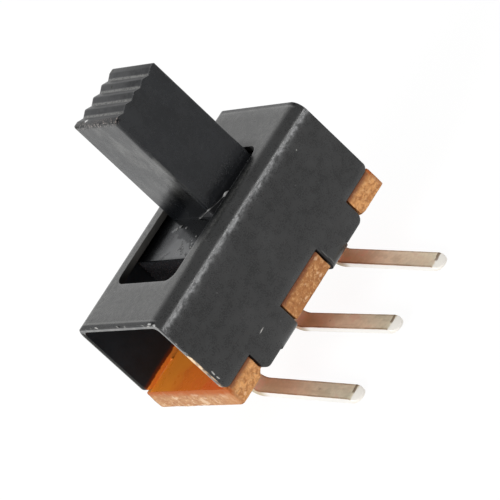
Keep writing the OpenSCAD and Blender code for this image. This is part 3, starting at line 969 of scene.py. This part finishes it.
def blank_patches(cover):
    """The flat blank as grids of (along, across, is an ear): a ring round the slot, two walls, and on each
    wall two tabs, each of a shoulder with a round corner and a longer ear."""
    half = COVER_END
    flat = COVER_SIDE - cover.fold
    inner = (cover.tab_spacing - cover.tab_width) / 2
    ear_end, outer = inner + cover.ear_width, inner + cover.tab_width
    corner = outer - cover.tab_corner
    core_x, core_w = cover.slot_length / 2 - cover.slot_corner, cover.slot_width / 2 - cover.slot_corner
    quarter = np.linspace(0, np.pi / 2, 7)
    before = stations([0, inner, ear_end, core_x, corner], 0.15 * MM)
    after = stations([outer, half - cover.wall_corner], 0.15 * MM)
    right = np.concatenate([before[:-1], corner + cover.tab_corner * np.sin(quarter[:-1]), after[:-1],
                            half - cover.wall_corner * (1 - np.sin(quarter))])
    along = mirrored(right)
    rise = mirrored(stations([0, core_w, flat], 0.15 * MM))

    edge = np.concatenate([
        np.stack([along[:-1], np.full(len(along) - 1, -flat)], axis=-1),
        np.stack([np.full(len(rise) - 1, half), rise[:-1]], axis=-1),
        np.stack([along[:0:-1], np.full(len(along) - 1, flat)], axis=-1),
        np.stack([np.full(len(rise) - 1, -half), rise[:0:-1]], axis=-1),
    ])
    core = np.clip(edge, [-core_x, -core_w], [core_x, core_w])
    away = edge - core
    slot = core + cover.slot_corner * away / np.linalg.norm(away, axis=1, keepdims=True)
    share = np.array([0, 0.22, 0.45, 0.7, 1.0])[:, None, None]
    ring = slot + share * (edge - slot)
    patches = [(ring[..., 0], ring[..., 1], False, True)]

    wall_start = flat + cover.fold * np.pi / 2
    wall_end = wall_start - cover.fold - BOARD_TOP
    fold = np.broadcast_to(np.linspace(flat, wall_start, 13)[:, None], (13, len(along)))
    over = np.maximum(np.abs(along) - half + cover.wall_corner, 0)
    bottom = wall_end - cover.wall_corner + np.sqrt(np.maximum(cover.wall_corner**2 - over**2, 0))
    wall = np.concatenate([fold, wall_start + np.linspace(0, 1, 11)[1:, None] * (bottom - wall_start)])
    drop = BOARD_TOP - BOARD_FOOT - cover.ear_fold
    drops = np.append(np.linspace(0, drop, 4), [(drop + cover.tab_drop) / 2, cover.tab_drop])
    bend = (cover.ear_fold + cover.sheet) * np.pi / 2
    reach = cover.ear_reach - cover.ear_fold - cover.sheet
    ear = np.concatenate([drops[:4], drop + bend * np.linspace(0, 1, 9)[1:],
                          drop + bend + reach * np.linspace(0, 1, 4)[1:]])
    tab_x = right[(right > inner - 1e-9) & (right < outer + 1e-9)]
    ear_x, shoulder_x = tab_x[tab_x < ear_end + 1e-9], tab_x[tab_x > ear_end - 1e-9]
    past = np.maximum(shoulder_x - corner, 0)
    depth = cover.tab_drop - cover.tab_corner + np.sqrt(np.maximum(cover.tab_corner**2 - past**2, 0))
    shoulder = drops[:, None] / cover.tab_drop * depth[None, :]
    for side in (-1, 1):
        patches.append((np.broadcast_to(along, wall.shape), side * wall, False, False))
        for end in (-1, 1):
            patches.append((*np.meshgrid(end * ear_x, side * (wall_end + ear)), True, False))
            x = np.broadcast_to(end * shoulder_x, shoulder.shape)
            patches.append((x, side * (wall_end + shoulder), False, False))
    return patches


def make_cover(cover):
    """The cover as one skin folded from its blank, given the sheet's thickness inwards."""
    grids, facing = [], []
    for x, across, ear, looped in blank_patches(cover):
        skin = folded(cover, x, across, 0.0, ear)
        grids.append((skin, looped))
        facing.append(skin - folded(cover, x, across, cover.sheet / 2, ear))
    mesh = new_mesh("switch_cover", *joined(grids, facing))
    piece = new_piece("switch_cover", mesh, "root", ["cover"],
                      [black_steel(cover), cut_steel(cover), inner_steel()])
    solid = piece.modifiers.new("Sheet", "SOLIDIFY")
    solid.thickness = cover.sheet
    solid.offset = -1.0
    solid.use_even_offset = True
    solid.material_offset_rim = 1
    solid.material_offset = 2
    round_edges(piece, cover.rim_round, 2, 50.0)


# --------------------------------------------------------------------------------------------------- board

# In millimetres: how far the board's four chips reach along X, Y and Z, and a resin burr's half sizes.
CHIP_REACHES = ((0.32, 0.45, 0.27), (0.38, 0.22, 0.13), (0.2, 0.2, 0.2), (0.12, 0.15, 0.1))
BURR_SIZE = (0.07, 0.13, 0.035)
LOW_ROUNDING = 0.06 * MM
FLAT = 0.99


def board_outline(cover, board):
    """The board's outline, anticlockwise: a rectangle with a notch for each tab."""
    x, y = BOARD_END, BOARD_SIDE
    inner = (cover.tab_spacing - cover.tab_width) / 2 - board.notch_gap
    outer = inner + cover.tab_width + 2 * board.notch_gap
    floor = y - cover.sheet - cover.ear_fold
    half = [(-x, y), (-outer, y), (-outer, floor), (-inner, floor), (-inner, y),
            (inner, y), (inner, floor), (outer, floor), (outer, y), (x, y)]
    corners = np.array([(-a, -b) for a, b in half] + half)
    corners = corners[::-1] if np.cross(corners[0], corners[1]) < 0 else corners
    return corners


def along_outline(corners, step):
    """Even points along a closed outline, with all its corners kept."""
    ends = np.roll(corners, -1, axis=0)
    parts = []
    for a, b in zip(corners, ends):
        count = max(int(np.ceil(np.linalg.norm(b - a) / step)), 1)
        parts.append(a + (b - a) * np.linspace(0, 1, count, endpoint=False)[:, None])
    return np.concatenate(parts)


def outline_normals(loop):
    """The direction out of an anticlockwise loop at each point: the neighbours' chord, turned a quarter."""
    before, after = loop - np.roll(loop, 1, axis=0), np.roll(loop, -1, axis=0) - loop
    before /= np.linalg.norm(before, axis=1, keepdims=True)
    after /= np.linalg.norm(after, axis=1, keepdims=True)
    out = np.stack([before[:, 1] + after[:, 1], -before[:, 0] - after[:, 0]], axis=-1)
    square = np.stack([before[:, 1], -before[:, 0]], axis=-1)
    return out / np.maximum((out * square).sum(1, keepdims=True), 1e-9)


def carried_down(loop, normals, inset, z):
    """A band round a loop. Row by row it is moved in by its inset and set at its height."""
    flat = loop[None] - normals[None] * inset[..., None]
    return np.concatenate([flat, np.broadcast_to(z[:, None, None], (*flat.shape[:2], 1))], axis=-1)


def broken_corner(spots, normals, corner, reach):
    """How far points of a side move in to meet the face of a broken corner.

    The face cuts the corner's three edges at the given reaches. A point's share inside it is one less the sum
    of its distances over the reaches, and it moves along its normal until the share is zero.
    """
    away = (np.abs(spots - corner) / reach).sum(axis=-1)
    ragged = 1 + 0.25 * waves(spots, 0.25 * MM, 9)
    return np.maximum(ragged - away, 0) * (away < 1) / (np.abs(normals) / reach[:2]).sum(axis=-1)


def make_board(cover, board, terminals):
    """The board: its outline carried down through its thickness, torn in by smooth noise, with a slit for
    each leg, and flat faces filled between the edges."""
    top, bottom = BOARD_TOP, BOARD_FOOT
    loop = along_outline(board_outline(cover, board), 0.07 * MM)
    if (loop[:, 0] * np.roll(loop[:, 1], -1) - np.roll(loop[:, 0], -1) * loop[:, 1]).sum() < 0:
        loop = loop[::-1]
    normals = outline_normals(loop)
    round_top, round_low = board.rollover, LOW_ROUNDING
    turn = np.linspace(0, np.pi / 2, 4)
    middle = np.linspace(top - round_top, bottom + round_low, 14)
    z = np.concatenate([top - round_top * (1 - np.cos(turn))[:-1], middle,
                        (bottom + round_low * (1 - np.sin(turn)))[1:]])
    upper = np.concatenate([round_top * (1 - np.sin(turn))[:-1], np.zeros(len(middle) + 3)])
    lower = np.concatenate([np.zeros(len(middle) + 3), (round_low * (1 - np.cos(turn)))[1:]])
    outside = np.where(np.abs(loop[:, 1]) > BOARD_SIDE - 0.01 * MM, 1.0, 0.25)
    base = upper[:, None] * outside + lower[:, None]
    spots = np.concatenate([np.broadcast_to(loop[None], (len(z), *loop.shape)),
                            np.broadcast_to(z[:, None, None], (len(z), len(loop), 1))], axis=-1)
    tear = 0.5 + 0.5 * waves(spots * [1, 1, 0.6], 0.22 * MM, 3)
    tear = 0.6 * np.clip(tear, 0, 1) + 0.4 * np.clip(0.5 + 0.5 * waves(spots, 0.9 * MM, 4), 0, 1)
    inset = base + board.ragged * tear
    x, y = BOARD_LOW[0], BOARD_LOW[1]
    notch = (cover.tab_spacing + cover.tab_width) / 2 + board.notch_gap
    for place, reach in zip(((-notch, y), (notch, y), (x, y), (x, -y)), CHIP_REACHES):
        corner = np.array([*place, bottom])
        inset = np.maximum(inset, broken_corner(spots, normals, corner, np.array(reach) * MM))
    bands = [carried_down(loop, normals, inset, z)]

    gap = board.slit_gap
    half_x, half_y = terminals.leg_width / 2 + gap, terminals.thickness / 2 + gap
    for place in (-LEG_PITCH, 0.0, LEG_PITCH):
        slit = np.array([(-1, -1), (-1, 1), (1, 1), (1, -1)]) * [half_x, half_y] + [place, 0]
        slit = along_outline(slit, 0.2 * MM)
        still = np.zeros((2, len(slit)))
        bands.append(carried_down(slit, np.zeros_like(slit), still, np.array([top, bottom])))

    mesh = new_mesh("switch_board", *joined([(band, True) for band in bands]))
    with edited(mesh) as shape:
        for height in (top, bottom):
            rim = [edge for edge in shape.edges
                   if edge.is_boundary and all(abs(v.co.z - height) < 1e-8 for v in edge.verts)]
            bmesh.ops.triangle_fill(shape, edges=rim, use_beauty=True, use_dissolve=False,
                                    normal=(0, 0, 1 if height == top else -1))
        turned_out(shape)
        for face in shape.faces:
            level = abs(face.normal.z) > FLAT
            face.smooth, face.material_index = not level, int(not level)
    return new_piece("switch_board", mesh, "root", ["terminal_board"],
                     [phenolic_face(board), phenolic_core(board)])


def make_burrs(cover, board, material):
    """Torn resin burrs that close the gap beside each outer tab at the board's upper face."""
    beside = (cover.tab_spacing + cover.tab_width + board.notch_gap) / 2 / MM
    inside, high = COVER_SIDE / MM - 0.24, BOARD_TOP / MM - 0.02
    rows = [((side * beside, end * inside, high), BURR_SIZE) for side in (-1, 1) for end in (-1, 1)]
    closed_piece("switch_burrs", "root", None, material, crumb_surfaces(rows, 60))


# ----------------------------------------------------------------------------------------------- terminals

# The row of a terminal's path where its straight drop ends.
LAST_STRAIGHT = 12


def terminal_path(terminals, lean):
    """The middle of one terminal's strip, seen along X: points, their thickness direction and half widths.

    It runs straight down from the top of the blade, turns about the bend's centre by a quarter less the lean,
    and runs straight to the tip. The width steps at the board and at the stake.
    """
    t = terminals.thickness
    blade_top, top, bottom = BLADE_TOP, BOARD_TOP, BOARD_FOOT
    bend_z = bottom - terminals.drop
    radius = terminals.bend + t / 2
    run = (terminals.reach - radius) / np.cos(lean)
    blade, leg = terminals.blade_width / 2, terminals.leg_width / 2
    c, s, h = terminals.blade_chamfer, leg + terminals.stake, terminals.stake_height
    down = [(blade_top, blade - c), (blade_top - c / 2, blade - c / 2), (blade_top - c, blade),
            (blade_top - 0.7 * MM, blade), (top, blade), (top, leg), (top - 0.3 * MM, leg), (bottom, leg),
            (bottom, s), (bottom - h, s), (bottom - h, leg), (bottom - h - 0.3 * MM, leg), (bend_z, leg)]
    heights = np.array([a for a, _ in down])
    turn = np.linspace(0, np.pi / 2 - lean, 13)[1:]
    corner = terminals.tip_corner
    far = np.append(stations([0, run - terminals.tip_bevel, run - corner], 0.2 * MM)[1:-1],
                    run - corner * (1 - np.sin(np.linspace(0, np.pi / 2, 8))))
    y = np.concatenate([np.zeros(len(down)), radius * (np.cos(turn) - 1),
                        radius * (np.sin(lean) - 1) - far * np.cos(lean)])
    z = np.concatenate([heights, bend_z - radius * np.sin(turn),
                        bend_z - radius * np.cos(lean) - far * np.sin(lean)])
    angle = np.concatenate([np.zeros(len(down)), turn, np.full(len(far), np.pi / 2 - lean)])
    towards = np.stack([np.zeros(len(y)), -np.cos(angle), np.sin(angle)], axis=-1)
    past = np.maximum(far - run + corner, 0)
    nose = leg - corner + np.sqrt(np.maximum(corner**2 - past**2, 0))
    width = np.concatenate([[b for _, b in down], np.full(len(turn), leg), nose])
    cut = np.concatenate([np.zeros(len(down) + len(turn)),
                          np.maximum(far - run + terminals.tip_bevel, 0) / terminals.tip_bevel])
    return np.stack([np.zeros(len(y)), y, z], axis=-1), towards, width, cut * (t - terminals.tip)


def strip_section(round_by, steps=4):
    """Signs and offsets of a rounded rectangle's points: each is a corner's sign pair and a share of the
    rounding to take off, so that one section fits every width and thickness."""
    turn = np.linspace(0, np.pi / 2, steps)
    quarter = np.stack([1 - np.sin(turn), 1 - np.cos(turn)], axis=-1) * round_by
    signs = np.repeat([(1, 1), (-1, 1), (-1, -1), (1, -1)], steps, axis=0)
    cuts = np.concatenate([quarter[::-1], quarter, quarter[::-1], quarter])
    return signs.astype(float), cuts


def make_terminal(node_name, terminals, lean, place, material, seed):
    """One terminal: a rounded rectangle carried along the strip's path, closed at both ends."""
    path, towards, width, cut = terminal_path(terminals, lean)
    signs, cuts = strip_section(0.03 * MM)
    half_t = terminals.thickness / 2
    across = signs[None, :, 0] * (width[:, None] - cuts[None, :, 0])
    high = half_t - cut
    through = np.where(signs[None, :, 1] > 0, high[:, None] - cuts[None, :, 1], cuts[None, :, 1] - half_t)
    grid = path[:, None, :] + across[..., None] * [1, 0, 0] + through[..., None] * towards[:, None, :]
    past_drop = (np.arange(len(path)) > LAST_STRAIGHT)[:, None]
    wear = waves(grid, 0.5 * MM, seed) * 0.006 * MM * past_drop
    grid[..., 0] -= np.sign(across) * np.abs(wear)
    grid[..., 0] += place
    ends = []
    for ring in (grid[0], grid[-1]):
        centre = ring.mean(axis=0)
        ends.append(np.stack([ring, centre + (ring - centre) * 0.86, centre + (ring - centre) * 0.4]))
    name, grids = "switch_" + node_name, [grid, *ends]
    even_shading(closed_piece(name, "root", [node_name], material, grids), False)


# -------------------------------------------------------------------------------------------------- slider

# The middle of the thread round the knob's foot, and the crumbs' places and half sizes, in millimetres.
THREAD_KNOTS = (
    (1.82, -1.392, -0.26), (1.62, -1.392, -0.296), (1.36, -1.392, -0.275), (1.10, -1.392, -0.210),
    (0.83, -1.392, -0.165), (0.50, -1.392, -0.100), (0.24, -1.392, -0.020), (0.085, -1.375, 0.025),
    (0.072, -1.28, 0.0), (0.072, -1.05, -0.095), (0.072, -0.82, -0.18), (0.072, -0.56, -0.285),
    (0.072, -0.34, -0.335),
)
CRUMBS = (
    ((-1.27, -1.07, -0.345), (0.06, 0.05, 0.03)), ((-1.40, -1.25, -0.345), (0.05, 0.035, 0.025)),
    ((-1.07, -0.96, -0.35), (0.05, 0.04, 0.02)), ((-0.30, 0.74, -0.35), (0.07, 0.05, 0.02)),
    ((-0.20, 0.56, -0.345), (0.05, 0.06, 0.025)), ((-0.30, 0.15, -0.35), (0.05, 0.04, 0.02)),
    ((-0.95, -1.22, -0.345), (0.05, 0.03, 0.025)), ((-0.66, -1.28, -0.345), (0.06, 0.03, 0.02)),
    ((-0.76, -0.93, -0.35), (0.035, 0.03, 0.02)),
)
# The thread's lumps: the place and width as shares of its length, and the height.
THREAD_LUMPS = ((0.265, 0.050, 1.1), (0.60, 0.030, 0.5), (0.95, 0.025, 0.5))


def merged_copy(name, source):
    """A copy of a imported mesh, with its loose triangles merged and its flat faces made whole."""
    corners = np.empty(len(source.vertices) * 3, np.float32)
    source.vertices.foreach_get("co", corners)
    loops = np.empty(len(source.loops), np.int32)
    source.loops.foreach_get("vertex_index", loops)
    mesh = new_mesh(name, *welded(corners.reshape(-1, 3).astype(float), loops.reshape(-1, 3)))
    with edited(mesh) as shape:
        turned_out(shape)
        bmesh.ops.dissolve_limit(shape, angle_limit=np.radians(0.6), verts=shape.verts, edges=shape.edges)
    mesh.shade_smooth()
    return mesh


def shaving_surface(slider):
    """A torn thread of plastic round the knob's foot: a flattened circle of points carried along a smooth
    path, thicker at its lumps and nearly nothing in between, and thin at both ends."""
    knots = np.array(THREAD_KNOTS) * MM
    length_so_far = np.append(0, np.cumsum(np.linalg.norm(np.diff(knots, axis=0), axis=1)))
    along = np.linspace(0, length_so_far[-1], 90)
    path = np.stack([np.interp(along, length_so_far, knots[:, i]) for i in range(3)], axis=-1)
    soft = np.array([1, 4, 6, 4, 1]) / 16
    inner = np.stack([np.convolve(path[:, i], soft, mode="valid") for i in range(3)], axis=-1)
    path[2:-2] = inner
    ahead = np.gradient(path, axis=0)
    ahead /= np.linalg.norm(ahead, axis=1, keepdims=True)
    up = np.cross(np.cross(ahead, [0, 0, 1.0]), ahead)
    up /= np.linalg.norm(up, axis=1, keepdims=True)
    beside = np.cross(up, ahead)
    share = along / along[-1]
    lumps = np.zeros(len(share))
    for middle, wide, high in THREAD_LUMPS:
        lumps += high * np.exp(-(((share - middle) / wide) ** 2))
    ragged = 0.5 + 0.5 * waves(path, 0.3 * MM, 31)
    thick = slider.shaving * (0.15 + 0.60 * ragged**2 + lumps * (0.6 + 0.8 * ragged))
    thick[0] = thick[-1] = 0.05 * slider.shaving
    turn = np.linspace(0, 2 * np.pi, 10, endpoint=False)
    high = np.cos(turn)[None, :, None] * up[:, None] * 1.5
    wide = np.sin(turn)[None, :, None] * beside[:, None] * 0.8
    grid = path[:, None] + (high + wide) * thick[:, None, None]
    return grid + np.sign(waves(grid, 0.15 * MM, 32, 5))[..., None] * 0.1 * thick[:, None, None] * up[:, None]


def crumb_surfaces(rows, seed):
    """Crumbs as closed grids: a sphere of latitudes and longitudes for each row, pushed in and out by smooth
    noise. A row is a place and the half sizes along X, Y and Z, in millimetres."""
    rise = np.linspace(0.08, np.pi - 0.08, 9)
    turn = np.linspace(0, 2 * np.pi, 14, endpoint=False)
    ball = np.stack([np.sin(rise)[:, None] * np.cos(turn), np.sin(rise)[:, None] * np.sin(turn),
                     np.broadcast_to(np.cos(rise)[:, None], (9, 14))], axis=-1)
    grids = []
    for number, (place, size) in enumerate(rows):
        dented = ball * (1 + 0.45 * waves(ball, 2.2, seed + number))[..., None]
        grids.append(dented * np.array(size) * MM + np.array(place) * MM)
    return grids


def make_shavings(slider):
    """The thread that the slot has shaved off the knob's foot, and the crumbs round it."""
    rubbed = rubbed_plastic("Rubbed plastic", times(slider.rubbed, 0.32), THREAD_LIGHTS)
    closed_piece("switch_shaving", "slider_body", None, rubbed, [shaving_surface(slider)])
    torn = rubbed_plastic("Torn plastic", times(slider.rubbed, 0.4))
    closed_piece("switch_crumbs", "slider_body", None, torn, crumb_surfaces(CRUMBS, 40))


# --------------------------------------------------------------------------------------------------- stage

WHITE = (1.0, 1.0, 1.0)


def by_ray(tree, output, soft, mirrored, direct):
    """Ends a tree with three shaders: one that gives soft light, one that is mirrored and one that is seen
    directly."""
    path = node(tree, "ShaderNodeLightPath", {}, "Is Glossy Ray")
    straight = highest(path.other("Is Camera Ray"), path.other("Is Transmission Ray"))
    mixed = node(tree, "ShaderNodeMixShader", {0: path, 1: soft, 2: mirrored})
    mixed = node(tree, "ShaderNodeMixShader", {0: straight, 1: mixed, 2: direct})
    plug(tree.nodes.new(output).inputs["Surface"], mixed)


def emptied(owner):
    """The node tree of a material or a world, with nothing in it."""
    owner.use_nodes = True
    owner.node_tree.nodes.clear()
    return owner.node_tree


def stage_floor(low):
    """A wide white floor under the switch. Seen directly it is white, less a faint shadow. Mirrored, it is
    white behind the switch and darkens towards the front, where the camera and its stand would be."""
    size = 2.0
    corners = [(-size, -size, low), (size, -size, low), (size, size, low), (-size, size, low)]
    mesh = new_mesh("floor", np.array(corners), [(0, 1, 2, 3)])
    material = bpy.data.materials.new("White floor")
    tree = emptied(material)
    back = axes(node(tree, "ShaderNodeTexCoord", {}, "Object"))[1]
    paper = node(tree, "ShaderNodeBsdfDiffuse", {"Color": (0.8, 0.8, 0.8)})
    faint = node(tree, "ShaderNodeBsdfDiffuse", {"Color": (0.12, 0.12, 0.12)})
    white = node(tree, "ShaderNodeEmission", {"Color": WHITE, "Strength": 0.93})
    darkened = back.within(-8.5, -5.5, 0.40, 1.0)
    glossy = node(tree, "ShaderNodeEmission", {"Color": WHITE, "Strength": darkened})
    bright = node(tree, "ShaderNodeAddShader", {0: faint, 1: white})
    by_ray(tree, "ShaderNodeOutputMaterial", paper, glossy, bright)
    mesh.materials.append(material)
    floor = linked("floor", mesh)
    floor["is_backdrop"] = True


def stage_world(ambient):
    """A white surround: full white where it is seen, soft where it only gives light, and mirrored as a white
    wall behind the switch that darkens overhead and towards the front."""
    world = bpy.context.scene.world = bpy.data.worlds.new("White surround")
    tree = emptied(world)
    back = axes(node(tree, "ShaderNodeTexCoord", {}, "Generated"))[1]
    lights = [node(tree, "ShaderNodeBackground", {"Color": WHITE, "Strength": strength})
              for strength in (ambient, back.span(0.08, 0.50, 0.32, 1.0), 1.0)]
    by_ray(tree, "ShaderNodeOutputWorld", *lights)


def lamp(name, place, size, power):
    """A square soft lamp that shines at the origin."""
    data = bpy.data.lights.new(name, "AREA")
    data.energy = power
    data.size = size
    made = linked(name, data)
    made.location = place
    made.rotation_euler = (-Vector(place)).to_track_quat("-Z", "Y").to_euler()


def stage_camera(stage):
    """The camera, set by azimuth, elevation and roll about the point it looks at."""
    data = bpy.data.cameras.new("camera")
    data.sensor_width = 36.0
    data.lens = stage.lens
    data.clip_start, data.clip_end = 0.01, 20.0
    camera = bpy.context.scene.camera = linked("camera", data)
    a, e = stage.azimuth, stage.elevation
    back = Vector((np.sin(a) * np.cos(e), -np.cos(a) * np.cos(e), np.sin(e)))
    camera.location = Vector(stage.aim) + back * stage.distance
    turn = (-back).to_track_quat("-Z", "Y").to_matrix().to_4x4() @ Matrix.Rotation(stage.roll, 4, "Z")
    camera.rotation_euler = turn.to_euler()


# ----------------------------------------------------------------------------------------------- operators


class SLIDE_SWITCH_OT_cover(Operator):
    """Make the folded steel cover"""

    bl_idname = "slide_switch.cover"
    bl_label = "Cover"

    def execute(self, context):
        make_cover(context.scene.slide_switch.cover)
        return {"FINISHED"}


class SLIDE_SWITCH_OT_board(Operator):
    """Make the phenolic terminal board"""

    bl_idname = "slide_switch.board"
    bl_label = "Terminal board"

    def execute(self, context):
        settings = context.scene.slide_switch
        piece = make_board(settings.cover, settings.board, settings.terminals)
        make_burrs(settings.cover, settings.board, piece.data.materials[0])
        return {"FINISHED"}


class SLIDE_SWITCH_OT_terminals(Operator):
    """Make the three terminals with their bent legs"""

    bl_idname = "slide_switch.terminals"
    bl_label = "Terminals"

    def execute(self, context):
        terminals = context.scene.slide_switch.terminals
        metal = tinned_metal(terminals)
        rows = (("left", terminals.outer_lean, -LEG_PITCH), ("common", terminals.middle_lean, 0.0),
                ("right", terminals.outer_lean, LEG_PITCH))
        for seed, (name, lean, place) in enumerate(rows):
            make_terminal("terminal_" + name, terminals, lean, place, metal, 20 + seed)
        return {"FINISHED"}


class SLIDE_SWITCH_OT_slider(Operator):
    """Make the slider with its ridged knob"""

    bl_idname = "slide_switch.slider"
    bl_label = "Slider"

    def execute(self, context):
        slider = context.scene.slide_switch.slider
        mesh = merged_copy("switch_slider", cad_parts["slider"].data)
        piece = new_piece("switch_slider", mesh, "slider_body", ["slider"],
                          [black_plastic(slider)])
        round_edges(piece, slider.edge_round, 3, 30.0)
        make_shavings(slider)
        return {"FINISHED"}


class SLIDE_SWITCH_OT_clip(Operator):
    """Finish the contact clip under the slider"""

    bl_idname = "slide_switch.clip"
    bl_label = "Contact clip"

    def execute(self, context):
        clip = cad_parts["contact_clip"]
        clip.data.materials.clear()
        clip.data.materials.append(rolled_bronze(context.scene.slide_switch.slider))
        return {"FINISHED"}


class SLIDE_SWITCH_OT_stage(Operator):
    """Set up the floor, the light and the camera"""

    bl_idname = "slide_switch.stage"
    bl_label = "Stage"

    def execute(self, context):
        stage = context.scene.slide_switch.stage
        stage_floor(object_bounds()[0][2])
        stage_world(stage.ambient)
        lamp("key", (0.055, -0.141, 0.001), 0.026, stage.key_power)
        lamp("fill", (-0.130, -0.035, 0.060), 0.06, stage.fill_power)
        stage_camera(stage)
        context.scene.view_settings.view_transform = "Standard"
        return {"FINISHED"}


class SLIDE_SWITCH_PT_panel(Panel):
    """Lists the pieces of the switch and their settings"""

    bl_idname = "SLIDE_SWITCH_PT_panel"
    bl_label = "Slide Switch"
    bl_space_type = "VIEW_3D"
    bl_region_type = "UI"
    bl_category = "Slide Switch"

    def draw(self, context):
        settings = context.scene.slide_switch
        for part, made_by in PANEL_ROWS:
            box = self.layout.box()
            for operator in made_by:
                box.operator(operator.bl_idname)
            group = getattr(settings, part)
            for name in group.__annotations__:
                box.prop(group, name)


PANEL_ROWS = (
    ("cover", (SLIDE_SWITCH_OT_cover,)),
    ("board", (SLIDE_SWITCH_OT_board,)),
    ("terminals", (SLIDE_SWITCH_OT_terminals,)),
    ("slider", (SLIDE_SWITCH_OT_slider, SLIDE_SWITCH_OT_clip)),
    ("stage", (SLIDE_SWITCH_OT_stage,)),
)
CLASSES = (
    SlideSwitchCover, SlideSwitchBoard, SlideSwitchTerminals, SlideSwitchSlider, SlideSwitchStage,
    SlideSwitchSettings, SLIDE_SWITCH_OT_cover, SLIDE_SWITCH_OT_board, SLIDE_SWITCH_OT_terminals,
    SLIDE_SWITCH_OT_slider, SLIDE_SWITCH_OT_clip, SLIDE_SWITCH_OT_stage, SLIDE_SWITCH_PT_panel,
)


def register():
    for kind in CLASSES:
        bpy.utils.register_class(kind)
    bpy.types.Scene.slide_switch = PointerProperty(type=SlideSwitchSettings)


def unregister():
    del bpy.types.Scene.slide_switch
    for kind in reversed(CLASSES):
        bpy.utils.unregister_class(kind)


def main():
    register()
    bpy.ops.slide_switch.cover()
    bpy.ops.slide_switch.board()
    bpy.ops.slide_switch.terminals()
    bpy.ops.slide_switch.slider()
    bpy.ops.slide_switch.clip()
    bpy.ops.slide_switch.stage()


if __name__ == "__main__":
    main()
